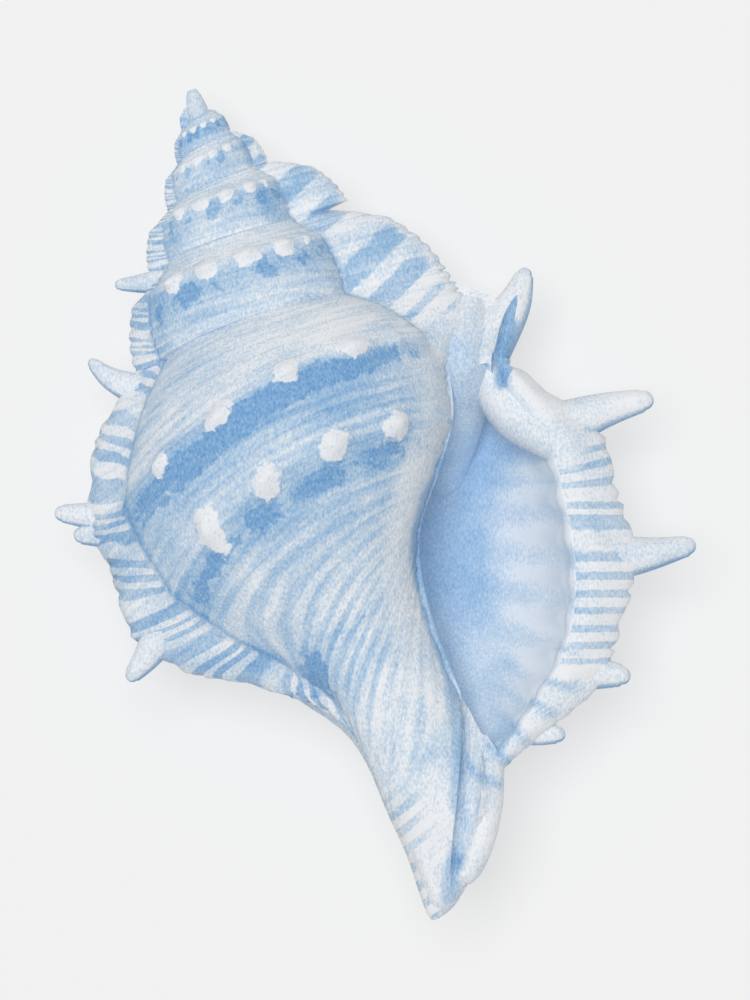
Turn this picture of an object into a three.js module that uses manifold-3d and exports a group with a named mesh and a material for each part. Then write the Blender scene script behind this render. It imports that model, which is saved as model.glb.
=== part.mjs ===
// A spiny frog shell, lying on its back with the mouth up.
// Units are millimetres, +Z is up. The tip of the spire points away along +Y,
// and the siphon canal points towards -Y and leans to the right.
import * as THREE from 'three';
import { LoftGeometry } from 'three/addons/geometries/LoftGeometry.js';
import { mergeVertices } from 'three/addons/utils/BufferGeometryUtils.js';
import Module from 'manifold-3d';

// Growth of the spiral. A turn is counted back from the lip, which is turn 0.
// Whole turns lie on the right side, half turns on the left, and a quarter
// turn after each whole one lies on the front, where the mouth is.
const GROWTH = 1.54;
const CONE_START = - 2.5;
const SUTURE_DROP = 27.2;
const SUTURE_RADIUS = 9.7;
const FRONT_FLATTENING = 0.17;
const FIRST_TURN = - 5.5;
const LIP_TURN = 0.02;

// How finely the turns are divided, finer at the lip and coarser on the small whorls.
const SPIRE_COLUMNS = [ { until: - 4, columns: 20 }, { until: - 3, columns: 24 }, { until: - 2, columns: 30 }, { until: - 1, columns: 40 } ];
const LAST_STEP = 1 / 60;
const LIP_TURNS = [ - 0.025, - 0.015, - 0.006, 0.004, 0.013, LIP_TURN ];

// The shell is flatter from front to back than it is wide.
const THICKNESS = 0.76;

// How the coiling axis lies in the frame.
const LEAN = THREE.MathUtils.degToRad( 16.5 );
const TILT = THREE.MathUtils.degToRad( 8 );

// The solid middle that the whorls wind around.
const CORE_RADIUS = 0.25;
const SHELL_LENGTH = 87.3;
// The worn tip of the spire and the rod below it, as radius and distance below the tip.
const CORE_PROFILE = [
	[ 0, - 0.3 ], [ 0.65, - 0.3 ], [ 1.0, 0.4 ], [ 1.4, 1.6 ], [ 1.2, 4 ], [ 0.5, 8 ], [ 0.45, SHELL_LENGTH ], [ 0, SHELL_LENGTH ],
];
const CORE_SIDES = 12;

// Each piece of whorl reaches this far into the one before it, drawn in a little.
const TONGUE_TURN = 0.008;
const TONGUE_SCALE = 0.96;

// Wall of the last whorl, and the thin glaze over the whorl under the mouth.
const WALL = 1.7;
const GLAZE = 0.4;
// The hollow starts clear of the lip and ends blind, half a turn in.
const MOUTH_TURN = 0.06;
const CAVITY_DEPTH = 0.5;
const CAVITY_STEP = 1 / 32;

// The worn flat on the back that the shell lies on.
const FLAT_DEPTH = 1.45;

// The last whorl: distance below the tip of the spire and radius, at the
// suture, the ramp, the upper bead row, the wall, the lower bead row, two
// places on the base and the neck. One row for each quarter turn to the lip.
const LAST_WHORL = [
	[ [ 24.7, 9.7 ], [ 27.0, 13.0 ], [ 30.5, 15.6 ], [ 35.0, 16.5 ], [ 39.8, 15.4 ], [ 44.5, 12.4 ], [ 50.0, 8.8 ], [ 58.0, 7.8 ] ],
	[ [ 25.1, 10.4 ], [ 28.2, 14.0 ], [ 31.8, 17.2 ], [ 36.2, 18.2 ], [ 41.0, 17.4 ], [ 47.5, 14.0 ], [ 55.5, 9.4 ], [ 63.5, 6.4 ] ],
	[ [ 26.2, 10.8 ], [ 31.5, 15.5 ], [ 39.0, 19.2 ], [ 44.0, 19.4 ], [ 51.0, 17.0 ], [ 56.0, 12.8 ], [ 60.5, 7.2 ], [ 66.0, 2.6 ] ],
	[ [ 27.9, 13.5 ], [ 32.4, 20.0 ], [ 38.6, 22.9 ], [ 46.0, 22.8 ], [ 53.6, 20.4 ], [ 59.5, 16.4 ], [ 65.0, 11.4 ], [ 70.0, 6.6 ] ],
	[ [ 30.0, 16.0 ], [ 35.5, 22.0 ], [ 44.0, 25.4 ], [ 51.0, 25.4 ], [ 58.5, 24.3 ], [ 65.0, 21.4 ], [ 70.0, 16.4 ], [ 73.5, 11.8 ] ],
];

// The siphon canal: distance below the tip, offset of its middle to the right, radius.
const CANAL = [ [ 76.0, 4.0, 5.5 ], [ 80.5, 3.3, 4.2 ], [ 84.0, 2.0, 2.8 ], [ 86.3, 0.9, 1.6 ], [ 87.1, 0.3, 0.8 ] ];
const ROWS_PER_STATION = 3;

// A whorl of the spire: share of its height, and radius as a share of its upper suture's.
const SPIRE_PROFILE = [ [ 0, 1 ], [ 0.12, 1.12 ], [ 0.3, 1.36 ], [ 0.5, 1.46 ], [ 0.75, 1.51 ], [ 1, 1.5 ] ];

// Ribs of the resting stages, called varices, one each half turn: how far each stands out.
const SPIRE_VARICES = [
	{ turn: - 4.5, size: 0.3 }, { turn: - 4, size: 1.4 }, { turn: - 3.5, size: 0.8 }, { turn: - 3, size: 5.8 },
	{ turn: - 2.5, size: 1.7 }, { turn: - 2, size: 10 }, { turn: - 1.5, size: 1.7 }, { turn: - 1, size: 9 },
];
const SPIRE_VARIX_WIDTH = 0.06;
// The same on the last whorl, where each station has its own size.
const LAST_VARICES = [
	{ turn: - 1, width: 0.06, sizes: [ 9.5, 7, 4.6, 0, 0, 0, 0, 0 ] },
	{ turn: - 0.5, width: 0.055, sizes: [ 2.6, 3.6, 2.8, 1.9, 3.9, 4.6, 2.2, 0.6 ] },
	{ turn: - 0.006, width: 0.065, sizes: [ 5.4, 0.9, 3.7, 4.2, 5.0, 4.4, 5.2, 1.8 ] },
];
const LIP_INNER_WIDTH = 0.036;

// Beads sit on two rows of the last whorl and one row of each whorl above.
const BEAD_STEP = 24 / 360;
const UPPER_BEAD_START = 60 / 360;
const LOWER_BEAD_START = 54 / 360;
const BEAD_HEIGHT = 1.1;
const CORD_HEIGHT = 0.45;

// Spines as curved cones: the middle of the root, a middle point and the
// point, each as distance below the tip, to the right and to the front.
const SPINES = [
	{ name: 'posterior', path: [ [ 34.0, 20.0, - 1.2 ], [ 30.3, 24.8, - 1.0 ], [ 26.9, 27.4, - 0.6 ] ], root: 3.4, end: 0.7 },
	{ name: 'upper lip', path: [ [ 43.4, 25.0, - 1.2 ], [ 43.0, 30.6, - 1.1 ], [ 43.3, 35.8, - 0.6 ] ], root: 2.9, end: 0.95 },
	{ name: 'middle lip', path: [ [ 57.2, 25.5, - 1.2 ], [ 58.2, 30.6, - 1.1 ], [ 58.7, 35.6, - 0.6 ] ], root: 2.9, end: 0.85 },
	{ name: 'lower lip', path: [ [ 66.5, 19.0, - 1.2 ], [ 68.2, 22.4, - 1.1 ], [ 69.6, 25.5, - 0.6 ] ], root: 2.8, end: 0.9 },
	{ name: 'base lip', path: [ [ 71.0, 12.6, - 1.2 ], [ 72.4, 15.2, - 1.1 ], [ 73.3, 17.6, - 0.6 ] ], root: 1.8, end: 0.8 },
	{ name: 'left upper', path: [ [ 29.0, - 12.0, 0 ], [ 26.0, - 15.8, 0 ], [ 23.4, - 17.6, 0.4 ] ], root: 2.2, end: 0.5 },
	{ name: 'left middle', path: [ [ 39.8, - 19.0, 0 ], [ 38.4, - 22.4, 0 ], [ 37.3, - 25.2, 0.2 ] ], root: 1.9, end: 0.8 },
	{ name: 'left middle twin', path: [ [ 41.2, - 19.0, 0 ], [ 40.6, - 21.8, 0 ], [ 40.0, - 24.0, 0 ] ], root: 1.8, end: 0.8 },
	{ name: 'left lower', path: [ [ 51.5, - 17.6, 0 ], [ 54.0, - 20.4, 0 ], [ 55.7, - 22.8, 0.2 ] ], root: 2.3, end: 0.7 },
	{ name: 'left spire', path: [ [ 17.6, - 9.0, 0 ], [ 17.1, - 11.2, 0 ], [ 16.7, - 13.0, 0.1 ] ], root: 1.4, end: 0.5 },
];
const SPINE_SIDES = 7;
const SPINE_RINGS = 5;

// Grooves cut into the front, as paths like the spines', with a radius at each point.
const CANAL_GROOVE = {
	path: [ [ 65.0, 11.2, 0.6 ], [ 70.0, 9.4, 1.9 ], [ 76.0, 7.0, 3.5 ], [ 81.0, 4.8, 3.1 ], [ 85.0, 3.0, 2.2 ], [ 89.0, 1.6, 1.3 ] ],
	radii: [ 2.0, 1.6, 1.3, 1.1, 0.8, 0.8 ],
};
const POSTERIOR_GROOVE = {
	path: [ [ 40.0, 20.0, 0.8 ], [ 35.5, 22.4, 1.9 ], [ 31.5, 24.4, 1.6 ], [ 27.0, 27.2, 0.9 ] ],
	radii: [ 1.8, 1.3, 0.9, 0.4 ],
};

const wasm = await Module();
wasm.setup();

// The frame of the coiling axis: along it, to the right of it and to the front.
const alongAxis = new THREE.Vector3( Math.sin( LEAN ) * Math.cos( TILT ), - Math.cos( LEAN ) * Math.cos( TILT ), Math.sin( TILT ) );
const toRight = new THREE.Vector3( Math.cos( LEAN ), Math.sin( LEAN ), 0 );
const toFront = new THREE.Vector3().crossVectors( alongAxis, toRight ).normalize();

function place( along, right, front ) {

	return new THREE.Vector3()
		.addScaledVector( alongAxis, along )
		.addScaledVector( toRight, right )
		.addScaledVector( toFront, front );

}

// A point on the spiral, at a distance below the tip, a radius and a turn.
function onTurn( along, radius, turn ) {

	const angle = turn * Math.PI * 2;
	return place( along, radius * Math.cos( angle ), radius * Math.sin( angle ) * THICKNESS );

}

function toSolid( geometry ) {

	const bare = new THREE.BufferGeometry();
	bare.setAttribute( 'position', geometry.attributes.position );
	bare.setIndex( geometry.index );
	const merged = mergeVertices( bare, 1e-4 );
	return new wasm.Manifold( new wasm.Mesh( {
		numProp: 3,
		vertProperties: new Float32Array( merged.attributes.position.array ),
		triVerts: new Uint32Array( merged.index.array ),
	} ) );

}

function growthAt( turn ) {

	return GROWTH ** ( turn + 1 );

}

// Smooth curve through [ x, y ] pairs, read at evenly spaced points.
function smooth( pairs, count ) {

	const curve = new THREE.CatmullRomCurve3( pairs.map( ( [ x, y ] ) => new THREE.Vector3( x, y, 0 ) ), false, 'catmullrom', 0.5 );
	return curve.getPoints( count ).map( ( point ) => [ point.x, point.y ] );

}

// One station of the last whorl at any turn between the rows of the table.
function lastStation( station, turn ) {

	const keys = LAST_WHORL.map( ( row ) => new THREE.Vector3( row[ station ][ 0 ], row[ station ][ 1 ], 0 ) );
	const share = THREE.MathUtils.clamp( turn + 1, 0, 1 );
	const point = new THREE.CatmullRomCurve3( keys, false, 'catmullrom', 0.5 ).getPoint( share );
	return [ point.x, point.y ];

}

// The canal is a tube beside the axis, so its radius from the axis depends on the turn.
function canalStation( [ along, offset, radius ], turn ) {

	const angle = turn * Math.PI * 2;
	const side = offset * Math.sin( angle );
	return [ along, offset * Math.cos( angle ) + Math.sqrt( radius * radius - side * side ) ];

}

function sutureHeight( turn ) {

	if ( turn > - 1 ) return lastStation( 0, turn )[ 0 ];
	const flattening = FRONT_FLATTENING * THREE.MathUtils.clamp( ( turn + 3.7 ) / 3.2, 0, 1 );
	return SUTURE_DROP * growthAt( turn ) * ( 1 - flattening * Math.sin( Math.PI * turn ) ** 2 ) + CONE_START;

}

// How much of a varix shows at a turn: 1 on its ridge, 0 beyond its width.
function varixShare( turn, ridge, widthBefore, widthAfter ) {

	const width = turn < ridge ? widthBefore : widthAfter;
	const away = Math.min( Math.abs( turn - ridge ) / width, 1 );
	return Math.cos( away * Math.PI / 2 ) ** 2;

}

// How much of a bead shows at a turn: beads repeat every step from the start.
function beadShare( turn, start ) {

	const away = Math.abs( ( ( turn - start ) / BEAD_STEP + 0.5 ) % 1 + ( ( turn - start ) / BEAD_STEP + 0.5 < 0 ? 1 : 0 ) - 0.5 );
	return Math.max( 0, 1 - away / 0.3 );

}

function spireSection( turn ) {

	const top = sutureHeight( turn );
	const bottom = sutureHeight( turn + 1 );
	const radius = SUTURE_RADIUS * growthAt( turn );
	const profile = SPIRE_PROFILE.map( ( [ share, factor ], index ) => {

		let out = radius * factor;
		for ( const varix of SPIRE_VARICES ) {

			const rise = Math.cbrt( share );
			out += varix.size * rise * varixShare( turn, varix.turn, SPIRE_VARIX_WIDTH, SPIRE_VARIX_WIDTH );

		}
		if ( index === 2 ) out += radius * 0.13 * ( 0.4 + beadShare( turn, UPPER_BEAD_START ) );
		return [ top + share * ( bottom - top ), out ];

	} );
	const innerTop = THREE.MathUtils.lerp( sutureHeight( turn - 1 ), top, 0.6 );
	const innerBottom = bottom + ( bottom - top ) * 0.3;
	return [ [ innerTop, CORE_RADIUS ], ...profile, [ innerBottom, CORE_RADIUS ] ];

}

function lastSection( turn ) {

	const stations = LAST_WHORL[ 0 ].map( ( _, station ) => {

		const [ along, radius ] = lastStation( station, turn );
		let out = radius;
		for ( const varix of LAST_VARICES ) {

			const after = varix.turn > - 0.1 ? LIP_INNER_WIDTH : varix.width;
			out += varix.sizes[ station ] * varixShare( turn, varix.turn, varix.width, after );

		}
		return [ along, out ];

	} );
	const canal = CANAL.map( ( row ) => canalStation( row, turn ) );
	const all = [ ...stations, ...canal ];
	const canalStart = stations.length * ROWS_PER_STATION;
	const rows = smooth( all, ( all.length - 1 ) * ROWS_PER_STATION )
		.filter( ( _, row ) => row <= canalStart || row % ROWS_PER_STATION === 0 );
	const upper = 2 * ROWS_PER_STATION;
	const lower = 4 * ROWS_PER_STATION;
	rows[ upper ][ 1 ] += CORD_HEIGHT + BEAD_HEIGHT * beadShare( turn, UPPER_BEAD_START );
	rows[ lower ][ 1 ] += CORD_HEIGHT + BEAD_HEIGHT * beadShare( turn, LOWER_BEAD_START );
	const innerTop = THREE.MathUtils.lerp( sutureHeight( turn - 1 ), rows[ 0 ][ 0 ], 0.6 );
	return [ [ innerTop, CORE_RADIUS ], ...rows, [ SHELL_LENGTH, CORE_RADIUS ] ];

}

function ringAt( section, turn, scale = 1 ) {

	return section( turn ).map( ( [ along, radius ] ) => onTurn( along, radius * scale, turn ) ).reverse();

}

// A solid piece of whorl between two turns, from sections in half planes
// through the axis. A tongue at its start reaches into the piece before it.
function whorlPiece( section, turns, tongue = true ) {

	const rings = turns.map( ( turn ) => ringAt( section, turn ) );
	if ( tongue ) rings.unshift( ringAt( section, turns[ 0 ] - TONGUE_TURN, TONGUE_SCALE ) );
	return toSolid( new LoftGeometry( rings, { capStart: true, capEnd: true } ) );

}

function turnsBetween( start, end, step ) {

	const count = Math.round( ( end - start ) / step );
	return Array.from( { length: count + 1 }, ( _, index ) => start + ( end - start ) * index / count );

}

// The inside of the last whorl, from the mouth back to a blind end.
function cavitySection( turn ) {

	const outer = [];
	for ( let station = 1; station <= 7; station ++ ) {

		const [ along, radius ] = lastStation( station, turn );
		outer.push( [ along, radius - WALL ] );

	}

	// The inner side follows the whorl below: near the mouth the start of the
	// last whorl, and deeper in the same whorl one turn smaller.
	const depth = THREE.MathUtils.clamp( - turn / 0.2, 0, 1 );
	const inner = [];
	for ( let station = 7; station >= 3; station -- ) {

		const [ nearAlong, nearRadius ] = lastStation( station, - 1 + Math.max( turn, 0 ) );
		const [ fullAlong, fullRadius ] = lastStation( station, turn );
		const farAlong = Math.max( ( fullAlong - CONE_START ) / GROWTH + CONE_START, sutureHeight( turn ) + 4 );
		inner.push( [
			THREE.MathUtils.lerp( nearAlong, farAlong, depth ),
			THREE.MathUtils.lerp( nearRadius, fullRadius / GROWTH, depth ) + GLAZE,
		] );

	}
	inner.unshift( [ THREE.MathUtils.lerp( 67, 62, depth ), THREE.MathUtils.lerp( 8.9, 3.4, depth ) ] );
	const ring = [ ...smooth( outer, 12 ), ...smooth( inner, 9 ) ];
	const middle = ring.reduce( ( sum, [ along, radius ] ) => [ sum[ 0 ] + along / ring.length, sum[ 1 ] + radius / ring.length ], [ 0, 0 ] );
	const narrowing = 1 - 0.6 * THREE.MathUtils.clamp( ( - turn - 0.38 ) / 0.12, 0, 1 ) ** 2;
	return ring.map( ( [ along, radius ] ) => [
		middle[ 0 ] + ( along - middle[ 0 ] ) * narrowing,
		middle[ 1 ] + ( radius - middle[ 1 ] ) * narrowing,
	] );

}

// A round rod of changing radius along a smooth path.
function rod( path, radiusAt, rings ) {

	const curve = new THREE.CatmullRomCurve3( path.map( ( point ) => place( ...point ) ) );
	const frames = curve.computeFrenetFrames( rings );
	const sections = [];
	for ( let ring = 0; ring <= rings; ring ++ ) {

		const share = ring / rings;
		const middle = curve.getPointAt( share );
		const radius = radiusAt( share );
		sections.push( Array.from( { length: SPINE_SIDES }, ( _, side ) => {

			const angle = side / SPINE_SIDES * Math.PI * 2;
			return middle.clone()
				.addScaledVector( frames.normals[ ring ], radius * Math.cos( angle ) )
				.addScaledVector( frames.binormals[ ring ], radius * Math.sin( angle ) );

		} ) );

	}
	return toSolid( new LoftGeometry( sections, { capStart: true, capEnd: true } ) );

}

function spine( { path, root, end } ) {

	return rod( path, ( share ) => THREE.MathUtils.lerp( root, end, share ** 0.8 ) * ( share === 1 ? 0.55 : 1 ), SPINE_RINGS );

}

function groove( { path, radii } ) {

	return rod( path, ( share ) => {

		const spot = share * ( radii.length - 1 );
		const before = Math.min( Math.floor( spot ), radii.length - 2 );
		return THREE.MathUtils.lerp( radii[ before ], radii[ before + 1 ], spot - before );

	}, ( radii.length - 1 ) * 3 );

}

function core() {

	const points = CORE_PROFILE.map( ( [ radius, along ] ) => new THREE.Vector2( radius, along ) );
	const geometry = new THREE.LatheGeometry( points, CORE_SIDES );
	geometry.applyMatrix4( new THREE.Matrix4().makeBasis( toRight, alongAxis, toFront.clone().negate() ) );
	return toSolid( geometry );

}

function makeShell() {

	let shell = core();
	for ( let start = FIRST_TURN; start < - 1; start += 0.5 ) {

		const columns = SPIRE_COLUMNS.find( ( { until } ) => start < until ).columns;
		shell = shell.add( whorlPiece( spireSection, turnsBetween( start, start + 0.5, 1 / columns ) ) );

	}
	shell = shell.add( whorlPiece( lastSection, turnsBetween( - 1, - 0.5, LAST_STEP ) ) );
	shell = shell.add( whorlPiece( lastSection, [ ...turnsBetween( - 0.5, - 2 * LAST_STEP, LAST_STEP ), ...LIP_TURNS ] ) );
	for ( const each of SPINES ) shell = shell.add( spine( each ) );
	const cavityTurns = [ MOUTH_TURN, ...turnsBetween( LIP_TURN, - CAVITY_DEPTH, - CAVITY_STEP ) ].reverse();
	shell = shell.subtract( whorlPiece( cavitySection, cavityTurns, false ) );
	shell = shell.subtract( groove( CANAL_GROOVE ) );
	shell = shell.subtract( groove( POSTERIOR_GROOVE ) );
	return shell;

}

function toGeometry( solid ) {

	const mesh = solid.getMesh();
	const geometry = new THREE.BufferGeometry();
	geometry.setAttribute( 'position', new THREE.BufferAttribute( new Float32Array( mesh.vertProperties ), 3 ) );
	geometry.setIndex( new THREE.BufferAttribute( new Uint32Array( mesh.triVerts ), 1 ) );
	return geometry;

}

// Cuts the worn flat on the back, and moves the origin to the middle of the
// shell's outline, on the surface that it lies on.
function layDown( solid ) {

	const before = toGeometry( solid );
	before.computeBoundingBox();
	const low = before.boundingBox.min.z;
	const slab = new THREE.BoxGeometry( 200, 200, 20 );
	slab.translate( 0, 0, low + FLAT_DEPTH - 10 );
	const geometry = toGeometry( solid.subtract( toSolid( slab ) ) );
	geometry.computeBoundingBox();
	const { min, max } = geometry.boundingBox;
	geometry.translate( - ( min.x + max.x ) / 2, - ( min.y + max.y ) / 2, - min.z );
	geometry.computeVertexNormals();
	return geometry;

}

const shellMesh = new THREE.Mesh(
	layDown( makeShell() ),
	new THREE.MeshStandardMaterial( { color: '#cfe0ef', roughness: 0.55, metalness: 0 } ),
);
shellMesh.name = 'shell';

const part = new THREE.Group();
part.add( shellMesh );

export default part;
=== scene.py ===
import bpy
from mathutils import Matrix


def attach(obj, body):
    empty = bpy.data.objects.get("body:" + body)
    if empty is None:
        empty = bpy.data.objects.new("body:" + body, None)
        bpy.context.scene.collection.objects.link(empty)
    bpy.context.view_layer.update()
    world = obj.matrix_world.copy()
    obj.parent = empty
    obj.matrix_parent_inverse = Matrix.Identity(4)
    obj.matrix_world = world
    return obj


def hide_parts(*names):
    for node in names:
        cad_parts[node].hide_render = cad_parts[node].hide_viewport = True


bl_info = {
    "name": "Spiny frog shell",
    "version": (1, 0, 0),
    "blender": (4, 5, 0),
    "location": "View3D > Sidebar > Frog shell",
    "description": "A spiny frog shell in blue and white that lies on its back",
    "category": "Mesh",
}

import math
import bmesh
import bpy
import numpy as np

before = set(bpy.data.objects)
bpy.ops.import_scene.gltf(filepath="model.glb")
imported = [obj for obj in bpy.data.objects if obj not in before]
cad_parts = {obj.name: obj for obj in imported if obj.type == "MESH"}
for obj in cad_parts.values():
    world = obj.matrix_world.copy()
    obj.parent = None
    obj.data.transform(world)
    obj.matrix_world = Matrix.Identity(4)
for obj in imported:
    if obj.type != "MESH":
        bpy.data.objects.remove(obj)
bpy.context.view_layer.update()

MM = 0.001
TAU = 2 * math.pi

# Lengths are millimetres while the shell is shaped. A turn is counted back from the lip,
# which is turn 0: whole turns lie on the right, half turns on the left, and the front,
# where the mouth is, lies a quarter turn after each whole one.
GROWTH = 1.54
CONE_START = -2.5
SUTURE_DROP = 27.2
SUTURE_RADIUS = 9.7
FRONT_FLATTENING = 0.17
FIRST_TURN = -5.5
LIP_TURN = 0.02
THICKNESS = 0.76
LEAN = math.radians(16.5)
TILT = math.radians(8)
SHELL_LENGTH = 87.3
CORE_RADIUS = 0.25
WALL = 1.7
GLAZE = 0.4
FOLD_HEIGHT = 0.9
LIP_FLARE = 0.75
MOUTH_TURN = 0.06
CAVITY_DEPTH = 0.5
TONGUE_TURN = 0.008
TONGUE_SCALE = 0.96

# Where the tip of the spire lies in the frame.
TIP = np.array([-18.528, 41.271, 11.602])

# The last whorl: distance below the tip and radius at the suture, the ramp, the upper bead
# row, the wall, the lower bead row, two places on the base and the neck. One row for each
# quarter turn up to the lip.
LAST_WHORL = np.array([
    [[24.7, 9.7], [27, 13], [30.5, 15.6], [35, 16.5], [39.8, 15.4], [44.5, 12.4], [50, 8.8], [58, 7.8]],
    [[25.1, 10.4], [28.2, 14], [31.8, 17.2], [36.2, 18.2], [41, 17.4], [47.5, 14], [55.5, 9.4], [63.5, 6.4]],
    [[26.2, 10.8], [31.5, 15.5], [39, 19.2], [44, 19.4], [51, 17], [56, 12.8], [60.5, 7.2], [66, 2.6]],
    [[27.9, 13.5], [32.4, 20], [38.6, 22.9], [46, 22.8], [53.6, 20.4], [59.5, 16.4], [65, 11.4], [70, 6.6]],
    [[30, 16], [35.5, 22], [44, 25.4], [51, 25.4], [58.5, 24.3], [65, 21.4], [70, 16.4], [73.5, 11.8]],
])
UPPER_BEADS = 2.15
LOWER_BEADS = 4.05
NECK = 7

# How high the relief stands: beads, the ridge under them, fine cords, cords of the base, ribs of a varix.
BEAD_HEIGHT = 1.15
BEAD_RIDGE = 0.35
FINE_CORD = 0.10
BASE_CORD = 0.26
RIB_HEIGHT = 0.6
# How many cords there are to a row, on the wall and on the base, and how blunt they are.
FINE_CORDS = 5
BASE_CORDS = 4
CORD_BLUNTNESS = 1.6

# The siphon canal: distance below the tip, offset of its middle to the right, radius.
CANAL = np.array([[76.0, 4.0, 5.5], [80.5, 3.3, 4.2], [84.0, 2.0, 2.8], [86.3, 0.9, 1.6], [87.1, 0.3, 0.8]])
LAST_ROW = NECK + len(CANAL)

# A whorl of the spire: share of its height, and radius as a share of its upper suture's.
SPIRE_PROFILE = np.array([[0, 1], [0.12, 1.12], [0.3, 1.36], [0.5, 1.46], [0.75, 1.51], [1, 1.5]])
SPIRE_BEADS = 0.3
SPIRE_CORDS = 7

# Varices, the ribs left by each resting stage: turn and how far each stands out.
SPIRE_VARICES = [
    (-4.5, 0.3), (-4, 1.4), (-3.5, 0.8), (-3, 5.8), (-2.5, 1.7), (-2, 10), (-1.5, 1.7), (-1, 9)]
SPIRE_VARIX_WIDTH = 0.06
# The same on the last whorl, with the width before and after the ridge and one size for each station.
LAST_VARICES = [
    (-1, 0.06, 0.06, [9.5, 7, 4.6, 0, 0, 0, 0, 0]),
    (-0.5, 0.055, 0.055, [2.6, 3.6, 2.8, 1.9, 3.9, 4.6, 2.2, 0.6]),
    (-0.006, 0.065, 0.036, [5.4, 0.9, 3.7, 4.2, 5.0, 4.4, 5.2, 1.8]),
]

# Beads: turns from one to the next, where each row starts, half widths in millimetres and turns, and
# the turns of a wide bead and a tall one.
BEAD_STEP = 24 / 360
UPPER_BEAD_START = 62 / 360
LOWER_BEAD_START = 54 / 360
BEAD_RADIUS = 1.35
SPIRE_BEAD_WIDTH = 0.016
WIDE_BEAD = -0.83
TALL_BEAD = -0.645

# Spines as curved cones: points as distance below the tip, to the right and to the front,
# then the radius at the root and near the point.
SPINES = {
    "posterior": ([(34.0, 20.0, -1.2), (30.3, 24.8, -1.0), (26.9, 27.4, -0.6)], 3.4, 0.75),
    "upper_lip": ([(43.4, 25.0, -1.2), (43.0, 30.6, -1.1), (43.3, 35.8, -0.6)], 2.9, 1.0),
    "middle_lip": ([(57.2, 25.5, -1.2), (58.2, 30.6, -1.1), (58.7, 35.6, -0.6)], 2.9, 0.9),
    "lower_lip": ([(66.5, 19.0, -1.2), (68.2, 22.4, -1.1), (69.6, 25.5, -0.6)], 2.8, 0.9),
    "base_lip": ([(71.0, 12.6, -1.2), (72.4, 15.2, -1.1), (73.3, 17.6, -0.6)], 1.8, 0.8),
    "left_upper": ([(29.0, -12.0, 0), (26.0, -15.8, 0), (23.4, -17.6, 0.4)], 2.2, 0.5),
    "left_middle": ([(39.8, -19.0, 0), (38.4, -22.4, 0), (37.3, -25.2, 0.2)], 1.9, 0.8),
    "left_middle_twin": ([(41.2, -19.0, 0), (40.6, -21.8, 0), (40.0, -24.0, 0)], 1.8, 0.8),
    "left_lower": ([(51.5, -17.6, 0), (54.0, -20.4, 0), (55.7, -22.8, 0.2)], 2.3, 0.7),
    "left_spire": ([(18.0, -7.2, 0.5), (17.3, -10.6, 0.2), (16.7, -13.0, 0.1)], 1.5, 0.5),
}
# Grooves cut into the front, as points like the spines' and radii.
CANAL_GROOVE = (
    [(65, 11.2, 0.6), (70, 9.4, 1.9), (76, 7, 3.5), (81, 4.8, 3.1), (85, 3, 2.2), (89, 1.6, 1.3)],
    [2.0, 1.6, 1.3, 1.1, 0.8, 0.8],
)
POSTERIOR_GROOVE = (
    [(38.0, 21.4, 1.0), (35.5, 22.4, 1.9), (31.5, 24.4, 1.6), (27.0, 27.2, 0.9)],
    [0.9, 1.2, 0.9, 0.4],
)

# Rounded ridges laid on in the frame, as points and radii: the thick white callus at the top of the
# mouth, the wall that slopes into the mouth beside it, the rolled edge of the canal and its tip.
RIDGES = {
    "callus": (
        [(10.7, 16.2, 16.6), (11.4, 13.2, 16.2), (12.4, 10.6, 16.0), (14.3, 8.2, 16.7), (17.0, 6.3, 18.0),
         (19.9, 4.2, 19.0)],
        [0.6, 1.5, 2.2, 2.4, 2.1, 1.5]),
    "parietal_wall": (
        [(9.6, 20.0, 14.6), (9.3, 16.8, 15.6), (8.9, 13.6, 15.7), (8.6, 10.6, 13.2), (8.1, 7.6, 9.8),
         (7.3, 4.2, 5.8), (6.8, 0.8, 2.9)],
        [1.6, 2.6, 3.1, 3.0, 2.8, 2.5, 2.0]),
    "canal_edge": (
        [(11.8, -26.0, 22.2), (11.2, -29.9, 23.2), (10.5, -33.5, 23.8), (9.3, -36.4, 24.1),
         (7.8, -38.1, 24.3)],
        [1.1, 1.6, 1.5, 1.4, 1.0]),
    "canal_tip": ([(4.6, -34.2, 24.4), (5.9, -38.0, 24.2), (6.7, -40.6, 24.1)], [1.2, 1.15, 1.05]),
}

# How finely the surface is divided: rows of quads across a whorl and columns around it.
ROWS_PER_STATION = 12
SPIRE_ROWS = 36
SPIRE_COLUMNS = [(-4, 70), (-3, 100), (-2, 140), (-1, 180)]
LAST_COLUMNS = 220
ROD_SIDES = 24
# The turn at which the lip starts, and its columns up to the edge.
LIP_START = -0.03
LIP_TURNS = [-0.026, -0.022, -0.018, -0.014, -0.010, -0.006, -0.002, 0.002, 0.006, 0.010, 0.014, 0.0165]
# The rounded edge of the lip and its face: turn and how far in from the outside.
LIP_FACE = [(0.0185, 0.1), (0.0195, 0.35), (LIP_TURN, 0.9), (LIP_TURN, 1.7), (LIP_TURN, 2.5)]
LIP_FACE += [(LIP_TURN, inset) for inset in (3.4, 4.4, 5.4, 6.4, 7.4)]
# Points around the hollow's outer side, which carries the folds, and around its inner side.
OUTER_POINTS = 73
INNER_POINTS = 46

# Which part of the shell a face belongs to.
OUTSIDE, HOLLOW, SPINE, GROOVE, CALLUS, MOUTH_WALL = 0, 1, 2, 3, 4, 5
# The face of the lip is told by turns past the lip, this many for each millimetre in from the edge.
FACE_TURN = 0.002
# Mean radius of the last whorl, which turns its growth into a length for the streaks.
MEAN_RADIUS = 20

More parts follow.
